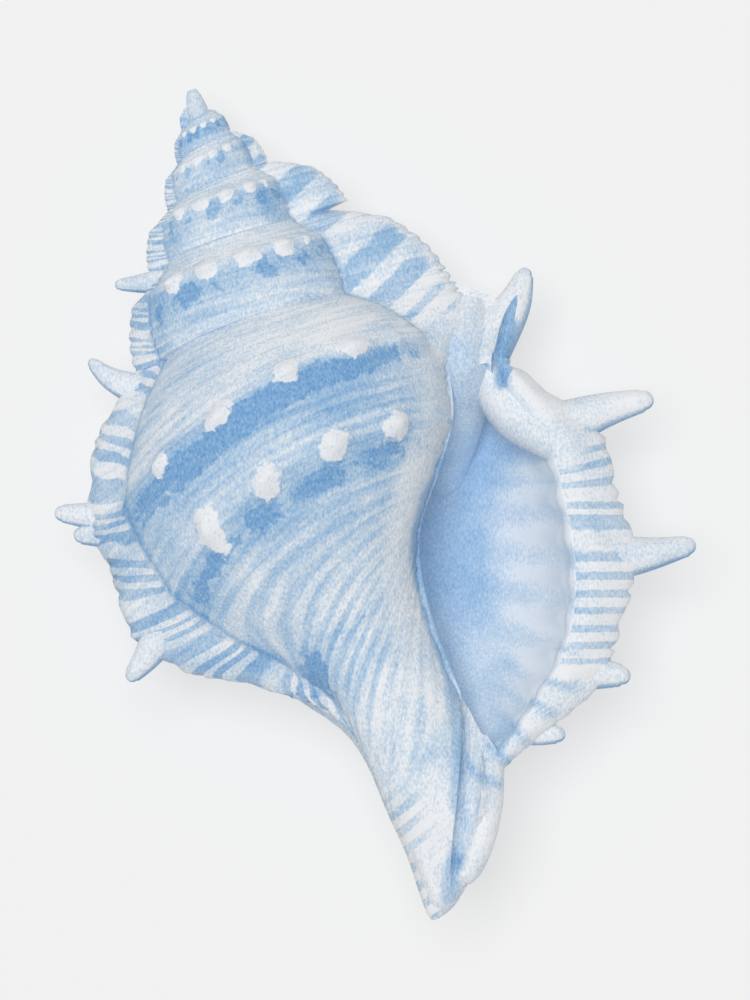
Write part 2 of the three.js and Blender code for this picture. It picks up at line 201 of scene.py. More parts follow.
# The frame of the coiling axis: along it, to the right of it and to the front.
ALONG = np.array([math.sin(LEAN) * math.cos(TILT), -math.cos(LEAN) * math.cos(TILT), math.sin(TILT)])
RIGHT = np.array([math.cos(LEAN), math.sin(LEAN), 0.0])
FRONT = np.cross(ALONG, RIGHT)


# The shape of the spiral

def on_spiral(along, radius, turn):
    """Points in the frame from distance below the tip, radius and turn."""
    along, radius = np.atleast_1d(along), np.atleast_1d(radius)
    right = radius * math.cos(turn * TAU)
    front = radius * math.sin(turn * TAU) * THICKNESS
    return TIP + along[:, None] * ALONG + right[:, None] * RIGHT + front[:, None] * FRONT


def curve_through(points, places):
    """Smooth curve through evenly spaced points, read at places from 0 to the last point's number."""
    points, places = np.asarray(points, float), np.atleast_1d(places)
    padded = np.vstack([2 * points[0] - points[1], points, 2 * points[-1] - points[-2]])
    start = np.clip(np.floor(places).astype(int), 0, len(points) - 2)
    share = (places - start)[:, None]
    before, a, b, after = (padded[start + step] for step in range(4))
    rise_a, rise_b = (b - before) / 2, (after - a) / 2
    return (
        (2 * share**3 - 3 * share**2 + 1) * a
        + (share**3 - 2 * share**2 + share) * rise_a
        + (3 * share**2 - 2 * share**3) * b
        + (share**3 - share**2) * rise_b
    )


def last_stations(turn):
    """Stations of the last whorl at a turn between the rows of the table."""
    quarter = min(max(turn + 1, 0), 1) * (len(LAST_WHORL) - 1)
    return curve_through(LAST_WHORL.reshape(len(LAST_WHORL), -1), quarter)[0].reshape(-1, 2)


def canal_stations(turn):
    """The canal is a tube beside the axis, so its radius from the axis depends on the turn."""
    along, offset, radius = CANAL.T
    side = offset * math.sin(turn * TAU)
    return np.column_stack([along, offset * math.cos(turn * TAU) + np.sqrt(radius**2 - side**2)])


def suture_height(turn):
    """Distance below the tip of the suture, the seam between a whorl and the one above it."""
    if turn > -1:
        return last_stations(turn)[0][0]
    flattening = FRONT_FLATTENING * min(max((turn + 3.7) / 3.2, 0), 1)
    return SUTURE_DROP * GROWTH ** (turn + 1) * (1 - flattening * math.sin(math.pi * turn) ** 2) + CONE_START


def varix_share(turn, ridge, before, after):
    """1 on a varix's ridge and 0 beyond its width."""
    away = min(abs(turn - ridge) / (before if turn < ridge else after), 1)
    return math.cos(away * math.pi / 2) ** 2


def bump(places, middle, width):
    """1 in the middle, falling smoothly to near 0 at twice the width."""
    return np.exp(-(((places - middle) / width) ** 2))


def bead_share(turn, start, width):
    """1 on a bead and near 0 between beads, for a bead of this half width in turns."""
    away = ((turn - start) / BEAD_STEP + 0.5) % 1 - 0.5
    return np.exp(-((away * BEAD_STEP / width) ** 2))


def upper_bead_row(turn):
    """The upper beads sink a little as the whorl widens."""
    return UPPER_BEADS + 0.25 * np.clip((turn + 0.76) / 0.08, 0, 1)


def between_varices(turn):
    """1 midway between varices, 0 near them, where the beads die out."""
    away = np.abs((turn * 2 + 0.5) % 1 - 0.5) / 2
    return np.clip((away - 0.105) / 0.02, 0, 1)


def drawn_row(turn, row):
    """Row of the cord that passes here: on the base the cords swing down towards the canal."""
    return row - 4.6 * np.clip(row - 5, 0, 1) * (turn + 0.75)


def rib_phase(turn, row):
    """Turns of the white and blue ribs that cross a varix, three for each row, some wider than others.

    On the left the ribs run straight out to the varix's edge.
    """
    away = np.abs(turn - np.floor(turn) - 0.5)
    row = row - 10 * np.where(away < 0.25, away, 0) * np.clip((5.2 - row) / 1.5, -1.4, 1)
    return 3 * row + 0.35 * np.sin(TAU * row * 0.9 + 1)


def last_beads(turn, places):
    """Height of the upper and lower beads of the last whorl, from 0 to 1."""
    growth = np.clip(turn + 1, 0, 1)
    width = BEAD_RADIUS / (TAU * (17 + 8 * growth)) * (1 + 0.45 * bump(turn, WIDE_BEAD, 0.03))
    upper = bump(places, upper_bead_row(turn), 0.24) * bead_share(turn, UPPER_BEAD_START, width)
    height = 0.24 + 0.16 * bump(turn, TALL_BEAD, 0.03)
    lower = bump(places, LOWER_BEADS, height) * bead_share(turn, LOWER_BEAD_START, width)
    return (upper + lower) * between_varices(turn)


def cords(places, per_row):
    """Rounded cords with narrower grooves between them, from 0 to 1."""
    wave = 0.5 + 0.5 * np.cos(TAU * places * per_row)
    return wave ** (1 / CORD_BLUNTNESS)


def last_whorl_rows(turn, places):
    """Distance below the tip and radius of the last whorl's outside, cords and beads included."""
    stations = last_stations(turn)
    rib = 0.0
    for ridge, before, after, sizes in LAST_VARICES:
        share = varix_share(turn, ridge, before, after)
        stations[:, 1] += share * np.array(sizes)
        rib = max(rib, share)
    points = np.vstack([stations, canal_stations(turn)])
    rows = curve_through(points, places)
    along, radius = rows[:, 0], rows[:, 1]
    size = props().relief
    ridges = bump(places, upper_bead_row(turn), 0.2) + bump(places, LOWER_BEADS, 0.2)
    radius = radius + BEAD_RIDGE * ridges + BEAD_HEIGHT * last_beads(turn, places)
    fine = np.clip(1 - places / 4.6, 0, 1)
    base = np.clip((places - 4.2) / 1.2, 0, 1) * np.clip((LAST_ROW - 0.8 - places) / 3, 0, 1)
    radius = radius + size * (
        FINE_CORD * fine * (cords(places, FINE_CORDS) - 0.5)
        + BASE_CORD * base * (cords(drawn_row(turn, places), BASE_CORDS) - 0.5)
        + RIB_HEIGHT * rib * np.clip((7.4 - places) / 0.8, 0, 1) * (cords(rib_phase(turn, places), 1) - 0.5)
    )
    return along, radius


def to_core(turn, along, radius, bottom):
    """Runs a whorl's outside in to the core, under the whorl above it and at the bottom."""
    top = suture_height(turn - 1) * 0.4 + along[0] * 0.6
    along = np.concatenate([[top], along, [bottom]])
    return along, np.concatenate([[CORE_RADIUS], radius, [CORE_RADIUS]])


def last_whorl_section(turn, inset=0.0):
    places = np.linspace(0, LAST_ROW, LAST_ROW * ROWS_PER_STATION + 1)
    along, radius = last_whorl_rows(turn, places)
    radius = radius - np.minimum(inset, 0.6 * radius)
    return to_core(turn, along, radius, SHELL_LENGTH)


def spire_rows(turn, shares):
    """Distance below the tip and radius of a spire whorl's outside, at shares of its height."""
    top, bottom = suture_height(turn), suture_height(turn + 1)
    radius = SUTURE_RADIUS * GROWTH ** (turn + 1)
    known = curve_through(SPIRE_PROFILE, np.linspace(0, len(SPIRE_PROFILE) - 1, 60))
    out = radius * np.interp(shares, known[:, 0], known[:, 1])
    rib = 0.0
    for ridge, size in SPIRE_VARICES:
        share = varix_share(turn, ridge, SPIRE_VARIX_WIDTH, SPIRE_VARIX_WIDTH)
        out = out + size * share * np.cbrt(shares)
        rib = max(rib, share * min(size / 3, 1))
    bead = bead_share(turn, UPPER_BEAD_START, SPIRE_BEAD_WIDTH) * between_varices(turn)
    out = out + radius * bump(shares, SPIRE_BEADS, 0.075) * (0.03 + 0.15 * bead)
    out = out + props().relief * radius * 0.018 * (cords(shares, SPIRE_CORDS) - 0.5) * (1 + 1.5 * rib)
    return top + shares * (bottom - top), out


def spire_section(turn):
    along, radius = spire_rows(turn, np.linspace(0, 1, SPIRE_ROWS + 1))
    pitch = along[-1] - along[0]
    return to_core(turn, along, radius, along[-1] + 0.3 * pitch)


def fold_share(places):
    """1 on the folds inside the lip and 0 between them."""
    folds = (0.5 + 0.5 * np.cos(TAU * (places - 2.93) * 1.88)) ** 1.4
    return folds * np.clip((places - 1.9) / 0.3, 0, 1) * np.clip((NECK + 0.1 - places) / 0.5, 0, 1)


def cavity_section(turn):
    """The hollow of the last whorl: its outer side with the folds behind the lip, then its inner side."""
    outer_places = np.linspace(1, NECK, OUTER_POINTS)
    stations = last_stations(turn)
    rows = curve_through(stations, outer_places)
    near_lip = math.exp(-((max(-turn, 0) / 0.05) ** 2)) * min(max((LIP_TURN - turn) / 0.035, 0), 1)
    folds = fold_share(outer_places)
    flare = LIP_FLARE * min(max((turn - LIP_TURN + 0.012) / 0.012, 0), 1) ** 2
    outer = np.column_stack([rows[:, 0], rows[:, 1] - WALL + flare - FOLD_HEIGHT * near_lip * folds])

    depth = min(max(-turn / 0.2, 0), 1)
    near = last_stations(-1 + max(turn, 0))
    far_along = np.maximum((stations[:, 0] - CONE_START) / GROWTH + CONE_START, suture_height(turn) + 4)
    along = near[:, 0] * (1 - depth) + far_along * depth
    radius = near[:, 1] * (1 - depth) + stations[:, 1] / GROWTH * depth + GLAZE
    inner = [[67 + (62 - 67) * depth, 8.9 + (3.4 - 8.9) * depth]]
    inner += [[along[station], radius[station]] for station in range(NECK, 2, -1)]
    inner = curve_through(inner, np.linspace(0, len(inner) - 1, INNER_POINTS))
    ring = np.vstack([outer, inner])
    middle = ring.mean(axis=0)
    narrowing = 1 - 0.6 * min(max((-turn - 0.38) / 0.12, 0), 1) ** 2
    ring = middle + (ring - middle) * narrowing
    return ring[:, 0], ring[:, 1]


# Making meshes

def object_from(bm, name):
    mesh = bpy.data.meshes.new(name)
    bm.to_mesh(mesh)
    bm.free()
    piece = bpy.data.objects.new(name, mesh)
    bpy.context.scene.collection.objects.link(piece)
    return piece


def skin_rings(rings, turns, rows, part, name):
    """A closed tube over rings of points: a grid is rolled over them and its ends are filled.

    The faces keep each point's turn and row, so that the colours can follow the growth.
    """
    sections, points = len(rings), len(rings[0])
    bm = bmesh.new()
    turn_of, row_of = (bm.verts.layers.float.new(label) for label in ("vert_turn", "vert_row"))
    bmesh.ops.create_grid(bm, x_segments=points, y_segments=sections - 1, size=0.5)
    for vert in bm.verts:
        point = round((vert.co.x + 0.5) * points) % points
        section = round((vert.co.y + 0.5) * (sections - 1))
        vert.co = rings[section][point]
        vert[turn_of] = turns[section]
        vert[row_of] = rows[point]
    bmesh.ops.remove_doubles(bm, verts=bm.verts, dist=1e-4)
    bmesh.ops.holes_fill(bm, edges=[edge for edge in bm.edges if edge.is_boundary], sides=0)
    bmesh.ops.triangulate(bm, faces=[face for face in bm.faces if len(face.verts) > 4])
    bmesh.ops.recalc_face_normals(bm, faces=bm.faces)
    labels = [bm.loops.layers.float.new(label) for label in ("turn", "row", "part")]
    for face in bm.faces:
        for loop in face.loops:
            loop[labels[0]] = loop.vert[turn_of]
            loop[labels[1]] = loop.vert[row_of]
            loop[labels[2]] = part
    for label in ("vert_turn", "vert_row"):
        bm.verts.layers.float.remove(bm.verts.layers.float[label])
    return object_from(bm, name)


def whorl_piece(section, turns, rows, name, face=()):
    """A stretch of whorl from the first turn to the last, with a tongue that reaches into the one before."""
    along, radius = section(turns[0] - TONGUE_TURN)
    rings = [on_spiral(along, radius * TONGUE_SCALE, turns[0] - TONGUE_TURN)]
    rings += [on_spiral(*section(turn), turn) for turn in turns]
    rings += [on_spiral(*section(turn, inset), turn) for turn, inset in face]
    places = [turns[0]] + list(turns) + [LIP_TURN + inset * FACE_TURN for turn, inset in face]
    return skin_rings(rings, places, rows, OUTSIDE, name)


def rod(path, radii, part, name, rings=26):
    """A round rod of changing radius along a smooth path. A spine's point is rounded."""
    points = np.array(path)
    places = np.linspace(0, 1, rings + 1)
    rounded = part != GROOVE
    if rounded:
        places = 1 - (1 - places) ** 1.6
    middles = curve_through(points, places * (len(points) - 1))
    ways = np.gradient(middles, axis=0)
    ways /= np.linalg.norm(ways, axis=1)[:, None]
    up = np.cross(ways, FRONT)
    up /= np.linalg.norm(up, axis=1)[:, None]
    across = np.cross(ways, up)
    radius = np.interp(places, np.linspace(0, 1, len(radii)), radii)
    if rounded:
        left = np.linalg.norm(middles - middles[-1], axis=1)
        tip = np.sqrt(np.maximum(2 * left * radii[-1] - left**2, 0.0009))
        radius = np.where(left < radii[-1], np.minimum(radius, tip), radius)
    angles = np.linspace(0, TAU, ROD_SIDES, endpoint=False)
    circle = np.cos(angles)[:, None] * up[:, None, :] + np.sin(angles)[:, None] * across[:, None, :]
    rings = list(middles[:, None, :] + radius[:, None, None] * circle)
    return skin_rings(rings, places, angles, part, name)


def beside_axis(path):
    """Points in the frame from distance below the tip, to the right and to the front."""
    return TIP + np.array(path) @ np.array([ALONG, RIGHT, FRONT])


def core_rod():
    """The pillar that the whorls wind about; its rounded top is the shell's first whorl."""
    radii = [(-0.3, 0.5), (0.4, 0.8), (1.6, 1.05), (4, 1.1), (8, 0.5), (40, 0.5), (SHELL_LENGTH, 0.45)]
    angles = np.linspace(0, TAU, ROD_SIDES, endpoint=False)
    circle = np.cos(angles)[:, None] * RIGHT - np.sin(angles)[:, None] * FRONT
    rings = [TIP + along * ALONG + radius * circle for along, radius in radii]
    return skin_rings(rings, [FIRST_TURN] * len(rings), [1.0] * ROD_SIDES, OUTSIDE, "core")


def combine(base, other, operation):
    """Joins or cuts base with other, which is used up."""
    modifier = base.modifiers.new("combine", "BOOLEAN")
    modifier.operation = operation
    modifier.solver = "MANIFOLD"
    modifier.object = other
    joined = bpy.data.meshes.new_from_object(base.evaluated_get(bpy.context.evaluated_depsgraph_get()))
    base.modifiers.clear()
    base.data = joined
    bpy.data.objects.remove(other)


def turns_between(start, end, per_turn):
    return list(np.linspace(start, end, max(round(abs(end - start) * per_turn), 1) + 1))


def build_shell():
    shell = core_rod()
    rows = np.interp(np.linspace(0, 1, SPIRE_ROWS + 1), [0, 0.12, SPIRE_BEADS, 1], [0, 1, 2, 4.2])
    rows = np.concatenate([[0], rows, [4.2]])
    for start in np.arange(FIRST_TURN, -1, 0.5):
        columns = next(count for until, count in SPIRE_COLUMNS if start < until)
        turns = turns_between(start, start + 0.5, columns)
        combine(shell, whorl_piece(spire_section, turns, rows, "whorl"), "UNION")
    rows = np.linspace(0, LAST_ROW, LAST_ROW * ROWS_PER_STATION + 1)
    rows = np.concatenate([[0], rows, [LAST_ROW]])
    front_turns = turns_between(-1, -0.5, LAST_COLUMNS)
    combine(shell, whorl_piece(last_whorl_section, front_turns, rows, "front"), "UNION")
    back_turns = turns_between(-0.5, LIP_START, LAST_COLUMNS) + LIP_TURNS
    combine(shell, whorl_piece(last_whorl_section, back_turns, rows, "back", LIP_FACE), "UNION")
    for name, (path, root, end) in SPINES.items():
        radii = [root * (1 - share**0.8) + end * share**0.8 for share in np.linspace(0, 1, 9)]
        combine(shell, rod(beside_axis(path), radii, SPINE, name), "UNION")
    hollow_turns = turns_between(-CAVITY_DEPTH, -0.06, 60) + turns_between(-0.055, LIP_TURN, 500)
    hollow_turns += [0.03, MOUTH_TURN]
    rings = [on_spiral(*cavity_section(turn), turn) for turn in hollow_turns]
    hollow_rows = np.concatenate([np.linspace(1, NECK, OUTER_POINTS), np.linspace(20, 25, INNER_POINTS)])
    combine(shell, skin_rings(rings, hollow_turns, hollow_rows, HOLLOW, "hollow"), "DIFFERENCE")
    for path, radii in (CANAL_GROOVE, POSTERIOR_GROOVE):
        combine(shell, rod(beside_axis(path), radii, GROOVE, "groove", rings=40), "DIFFERENCE")
    for name, (path, radii) in RIDGES.items():
        part = MOUTH_WALL if name == "parietal_wall" else CALLUS
        combine(shell, rod(path, radii, part, name, rings=40), "UNION")
    return shell


def lay_flat(bm):
    """Cuts the worn flat on the back level with the floor."""
    everything = bm.verts[:] + bm.edges[:] + bm.faces[:]
    cut = bmesh.ops.bisect_plane(
        bm, geom=everything, plane_co=(0, 0, 0), plane_no=(0, 0, -1), clear_outer=True)
    rim = [item for item in cut["geom_cut"] if isinstance(item, bmesh.types.BMEdge)]
    bmesh.ops.holes_fill(bm, edges=rim, sides=0)
    bmesh.ops.triangulate(bm, faces=[face for face in bm.faces if len(face.verts) > 4])


# Sizes and colours that a user would change

class FrogShellSettings(bpy.types.PropertyGroup):
    relief: bpy.props.FloatProperty(
        name="Cord relief", description="How strongly the spiral cords stand out", default=1.0, min=0, max=2)
    white: bpy.props.StringProperty(
        name="White", description="Beads, ribs and lip, sRGB hex", default="E9EBEE")
    pale: bpy.props.StringProperty(
        name="Pale blue", description="Palest wash, sRGB hex", default="CBD9E6")
    middle: bpy.props.StringProperty(
        name="Middle blue", description="Bands and stripes, sRGB hex", default="9CBCDA")
    deep: bpy.props.StringProperty(
        name="Deep blue", description="Darkest bands and mouth, sRGB hex", default="5F96CA")
    floor: bpy.props.StringProperty(
        name="Floor", description="Floor, sRGB hex", default="F0F0F0")
    lens: bpy.props.FloatProperty(
        name="Lens", description="Focal length of the camera", default=200, unit="CAMERA")


def props():
    return bpy.context.scene.frog_shell


def linear(code):
    """Linear red, green, blue and alpha from an sRGB hex value."""
    channels = [int(code[place:place + 2], 16) / 255 for place in (0, 2, 4)]
    return [c / 12.92 if c <= 0.04045 else ((c + 0.055) / 1.055) ** 2.4 for c in channels] + [1.0]


def add_node(tree, kind, links=None, **settings):
    """Adds a node with settings, and links or values for its inputs by name or number."""
    node = tree.nodes.new(kind)
    for name, value in settings.items():
        setattr(node, name, value)
    for name, value in (links or {}).items():
        if isinstance(value, bpy.types.NodeSocket):
            tree.links.new(value, node.inputs[name])
        else:
            node.inputs[name].default_value = value
    return node


def new_material(name):
    material = bpy.data.materials.new(name)
    material.use_nodes = True
    material.node_tree.nodes.clear()
    return material, material.node_tree


def shell_material():
    """Aragonite shell, grown and unpolished: matt and chalky outside, with a satin glaze in the mouth and a
    painted glow in its hollow.
    """
    material, tree = new_material("shell_aragonite")
    stored = {}
    for name in ("wash", "phase", "bias", "streaks", "beads", "gloss", "pooled_shade", "contrast"):
        stored[name] = add_node(tree, "ShaderNodeAttribute", attribute_name=name).outputs["Fac"]
    flow = add_node(tree, "ShaderNodeAttribute", attribute_name="flow").outputs["Vector"]
    place = add_node(tree, "ShaderNodeTexCoord").outputs["Object"]

    # Growth streaks run along the whorl, 0.8 mm across and about 12 mm long
    drawn = add_node(tree, "ShaderNodeMapping", {"Vector": flow, "Scale": (0.075, 1.0, 1.0)})
    lines = add_node(tree, "ShaderNodeTexNoise", {
        "Vector": drawn.outputs["Vector"], "Scale": 1.15, "Detail": 3.0, "Roughness": 0.6,
        "Distortion": 0.25})
    # Broad washes, about 6 mm
    pools = add_node(tree, "ShaderNodeTexNoise", {
        "Vector": place, "Scale": 170.0, "Detail": 2.0, "Roughness": 0.5})
    # Grains of pigment, 0.25 mm across and drawn out a little in one direction
    fibres = add_node(tree, "ShaderNodeMapping", {"Vector": place, "Scale": (1.0, 0.55, 1.0)})
    grain = add_node(tree, "ShaderNodeTexNoise", {
        "Vector": fibres.outputs["Vector"], "Scale": 4400.0, "Detail": 1.0, "Roughness": 0.6})
    # Ragged edges of the brushed colour, about 1 mm
    brushed = add_node(tree, "ShaderNodeTexNoise", {
        "Vector": place, "Scale": 800.0, "Detail": 2.0, "Roughness": 0.6})

    # Each noise lies about zero, and spreads this far between its lowest and highest value
    centred = []
    for noise, spread in ((lines, 3.8), (pools, 0.8), (grain, 0.8), (brushed, 0.9)):
        centred.append(add_node(tree, "ShaderNodeMapRange", {
            "Value": noise.outputs["Fac"], "From Min": 0.0, "From Max": 1.0,
            "To Min": -spread / 2, "To Max": spread / 2}).outputs["Result"])
    lines, pools, grain, brushed = centred
    line_part = add_node(tree, "ShaderNodeMath", {0: lines, 1: stored["streaks"]}, operation="MULTIPLY")
    softened = add_node(tree, "ShaderNodeMath", {0: pools, 1: line_part.outputs[0]}, operation="ADD")
    uneven = add_node(tree, "ShaderNodeMath", {0: softened.outputs[0], 1: 0.75}, operation="MULTIPLY")
    washed = add_node(tree, "ShaderNodeMath", {0: uneven.outputs[0], 1: stored["wash"]}, operation="ADD")

    # Blue and white bands, one pair for each whole number of the phase
    angle = add_node(tree, "ShaderNodeMath", {0: stored["phase"], 1: TAU}, operation="MULTIPLY")
    wave = add_node(tree, "ShaderNodeMath", {0: angle.outputs[0]}, operation="COSINE")
    shifted = add_node(tree, "ShaderNodeMath", {0: wave.outputs[0], 1: stored["bias"]}, operation="ADD")
    banded = add_node(tree, "ShaderNodeMath", {0: shifted.outputs[0], 1: brushed}, operation="ADD")
    edges = add_node(tree, "ShaderNodeMapRange", {
        "Value": banded.outputs[0], "From Min": -0.3, "From Max": 0.3, "To Min": -0.5, "To Max": 0.5},
        interpolation_type="SMOOTHSTEP")
    bands = add_node(tree, "ShaderNodeMath", {0: edges.outputs["Result"], 1: stored["contrast"]},
                     operation="MULTIPLY")

    # Painted shade, below the beads and on the left of the base, laid as pools of deeper blue with an edge,
    # as wet colour dries
    soaked = add_node(tree, "ShaderNodeMath", {0: brushed, 1: 1.6, 2: pools}, operation="MULTIPLY_ADD")
    wet = add_node(tree, "ShaderNodeMath", {0: stored["pooled_shade"], 1: soaked.outputs[0]}, operation="ADD")
    dried = add_node(tree, "ShaderNodeMapRange", {
        "Value": wet.outputs[0], "From Min": 0.44, "From Max": 0.6, "To Min": 0.0, "To Max": 0.3})
    deepened = add_node(tree, "ShaderNodeMath", {0: washed.outputs[0], 1: dried.outputs["Result"]},
                        operation="ADD")
    painted = add_node(tree, "ShaderNodeMath", {0: deepened.outputs[0], 1: bands.outputs[0]}, operation="ADD")

    # White beads with ragged edges
    ragged = add_node(tree, "ShaderNodeMath", {0: stored["beads"], 1: brushed}, operation="ADD")
    white = add_node(tree, "ShaderNodeMapRange", {
        "Value": ragged.outputs[0], "From Min": 0.24, "From Max": 0.36, "To Min": 1.0, "To Max": 0.0})
    lifted = add_node(tree, "ShaderNodeMath", {0: painted.outputs[0], 1: white.outputs["Result"]},
                      operation="MULTIPLY")

    # The darkest places are held back, so that grain shows in them too
    held = add_node(tree, "ShaderNodeMath", {0: lifted.outputs[0], 1: 0.84}, operation="MINIMUM")
    grained = add_node(tree, "ShaderNodeMath", {0: held.outputs[0], 1: grain}, operation="ADD")
    ramp = add_node(tree, "ShaderNodeValToRGB", {"Fac": grained.outputs[0]})
    stops = ramp.color_ramp.elements
    stops[0].color = linear(props().white)
    stops[1].color = linear(props().deep)
    for spot, code in ((0.22, props().pale), (0.56, props().middle)):
        stops.new(spot).color = linear(code)

    # The streaks and the grain show as a chalky surface, at most 0.12 mm deep
    relief = add_node(tree, "ShaderNodeMath", {0: lines, 1: 0.5}, operation="MULTIPLY")
    rough = add_node(tree, "ShaderNodeMath", {0: relief.outputs[0], 1: grain}, operation="ADD")
    bump_map = add_node(tree, "ShaderNodeBump", {
        "Height": rough.outputs[0], "Strength": 0.35, "Distance": 0.00012})
    dullness = add_node(tree, "ShaderNodeMapRange", {
        "Value": stored["gloss"], "From Min": 0.0, "From Max": 1.0, "To Min": 0.68, "To Max": 0.38})
    # Painted light: where the gloss is above 0.8, mostly in the hollow of the mouth, the shell glows a
    # little, which lightens the shade in the hollow
    painted_glow = add_node(tree, "ShaderNodeMapRange", {
        "Value": stored["gloss"], "From Min": 0.8, "From Max": 1.0, "To Min": 0.0, "To Max": 0.13})
    surface = add_node(tree, "ShaderNodeBsdfPrincipled", {
        "Base Color": ramp.outputs["Color"], "Roughness": dullness.outputs["Result"],
        "IOR": 1.53, "Specular IOR Level": 0.25, "Normal": bump_map.outputs["Normal"],
        "Emission Color": linear("CEDFE8"), "Emission Strength": painted_glow.outputs["Result"]})
    add_node(tree, "ShaderNodeOutputMaterial", {"Surface": surface.outputs["BSDF"]})
    return material


# Painting: how blue each row of the last whorl and of the spire is, from 0, white, to 1, deep blue

# Just under the bead rows, and a little at the suture, the rows are bluer: colour bands that are also painted
# shade under the beads and in the suture.
LAST_WASH = [
    (0, 0.24), (0.4, 0.14), (1.6, 0.14), (2.05, 0.20), (2.3, 0.46), (2.45, 0.58), (2.8, 0.54), (3.0, 0.48),
    (3.3, 0.44), (3.6, 0.42), (3.8, 0.37), (4.05, 0.36), (4.2, 0.48), (4.5, 0.50), (4.75, 0.44), (5.0, 0.40),
    (5.3, 0.34), (6.0, 0.26), (6.6, 0.23), (7.2, 0.22), (8.0, 0.18), (12.0, 0.14),
]
SPIRE_WASH = [
    (0, 0.32), (0.7, 0.20), (1.6, 0.18), (2.0, 0.24), (2.3, 0.46), (2.8, 0.42), (3.3, 0.38), (3.8, 0.34),
    (4.2, 0.28),
]

# Darker patches: turn, half width in turns, row, half width in rows, how much bluer. The first two, on the
# left flank of the last whorl, are painted shade.
PATCHES = [
    (-0.62, 0.07, 0.9, 1.1, 0.22), (-0.62, 0.09, 6.45, 0.55, 0.30), (-0.72, 0.03, 5.0, 0.7, 0.12),
    (-0.80, 0.05, 2.7, 0.3, 0.2), (-0.71, 0.04, 2.9, 0.4, 0.2), (-0.745, 0.012, 4.45, 0.25, 0.25),
    (-0.815, 0.012, 4.4, 0.2, 0.3), (-0.885, 0.012, 4.45, 0.2, 0.1), (-0.95, 0.03, 6.2, 0.9, 0.34),
    (-0.56, 0.02, 1.3, 0.6, 0.14), (-0.90, 0.035, 2.7, 0.5, -0.16), (-0.94, 0.05, 3.8, 1.6, -0.18),
    (-1.82, 0.07, 2.6, 0.5, 0.14), (-1.97, 0.03, 0.4, 0.5, 0.22), (-1.58, 0.03, 3.2, 1.6, 0.10),
    (-2.86, 0.03, 3.0, 0.9, 0.22), (-2.60, 0.03, 3.0, 1.0, 0.22), (-2.98, 0.03, 1.7, 0.5, 0.22),
    (-2.70, 0.05, 3.2, 0.8, -0.14), (-3.93, 0.035, 2.6, 1.4, 0.26), (-3.65, 0.12, 2.3, 0.8, -0.2),
    (-4.75, 0.5, 3.0, 1.2, 0.14), (-0.537, 0.025, 5.62, 0.34, 0.8), (-0.56, 0.03, 6.3, 0.16, 0.4),
]

# How strongly the blue grooves between the cords show, by row of the last whorl
CORD_CONTRAST = [
    (0.2, 0), (0.6, 0.3), (1.6, 0.3), (2.6, 0), (3.4, 0.5), (4.9, 0.6), (5.7, 1), (7.1, 1), (7.7, 0)]

# How blue the mouth is, by distance in from its left edge, and the wall above it, by height in the frame
MOUTH_WASH = [(0, 0.68), (1.5, 0.66), (4, 0.63), (7, 0.52), (9, 0.26), (11, 0.06), (14, 0.0)]
WALL_WASH = [(0, 0.62), (4, 0.58), (8, 0.42), (12, 0.30), (16, 0.22), (20, 0.16)]

# How blue the places of one colour are; the blue of the canal line and of the notch is painted shade
CANAL_BLUE = 0.11
CANAL_FLOOR_BLUE = 0.04
CANAL_LINE_BLUE = 0.48
INNER_LIP_BLUE = 0.15
GLAZE_BLUE = 0.6
LIP_BLUE = 0.04
CALLUS_BLUE = 0.07
UNDER_CALLUS_BLUE = 0.12
SPINE_BLUE = 0.10
GROOVE_BLUE = 0.16
POSTERIOR_BLUE = 0.15
NOTCH_BLUE = 0.7
FOLD_LINE_BLUE = 0.5

# Distances from the ridge of a varix, in turns: where the bands across it end, the blue crease beside it,
# which is painted shade, where the painted shade pools under the beads start and the white rim of a fin
VARIX_EDGE = 0.058
VARIX_CREASE = 0.06
SHADE_POOLS_START = 0.055
FIN_RIM = 0.011

# Half widths of what is drawn with the brush, in millimetres, and of a painted spire bead, in turns
CANAL_LINE_WIDTH = 0.9
NOTCH_WIDTH = 0.7
FOLD_WIDTH = 1.1
FOLD_LINE_WIDTH = 0.45
PAINTED_BEAD_WIDTH = 0.0175

# The canal starts at this row, and is striped from this turn on, which is on its left
CANAL_ROW = 7.7
CANAL_STRIPES = -0.84

# Lines of the painting on the front, in millimetres to the right and up from the middle of the frame
MOUTH_EDGE = [
    (7.6, 8.0), (6.8, 4.0), (4.6, 0.5), (3.6, -3.5), (3.6, -6.5), (4.8, -12.0), (6.6, -16.5), (7.8, -20.0)]
LIP_LINE = [
    (7.2, 17.0), (7.5, 12.0), (7.1, 7.5), (4.9, 3.0), (3.6, -2.0), (3.1, -7.0), (3.7, -12.0), (5.5, -17.0)]
CANAL_LINE = [(7.7, -19), (8.3, -22), (8.5, -26), (8.0, -29), (8.7, -32), (8.1, -35), (7.5, -37), (7.4, -39)]
WHITE_CALLUS = [(10.6, 15.0), (11.4, 11.0), (12.6, 8.0), (15.5, 6.6), (19.0, 5.6)]
CANAL_SPOT = (8.0, -35.7)
POSTERIOR_LINE = [(13.7, 17.5), (12.9, 14.5), (12.7, 11.8)]

# White folds inside the mouth: height in the frame, at this distance to the right of its middle
MOUTH_FOLDS = [3.1, 0.4, -3.5, -7.6, -11.9, -16.2, -19.6, -22.6]
FOLDS_RIGHT = 16

# Short blue lines where the folds run out over the lower lip
LOWER_FOLDS = [
    [(14.0, -13.4), (17.0, -14.4), (20.2, -15.2)], [(15.0, -16.9), (17.6, -18.2), (20.0, -18.8)],
    [(14.0, -18.5), (15.8, -20.2), (17.6, -21.5)], [(13.0, -21.8), (14.2, -23.2), (15.2, -24.2)],
    [(11.0, -24.2), (12.4, -25.4), (13.5, -26.2)], [(9.6, -26.8), (11.0, -27.8), (12.4, -28.2)],
]

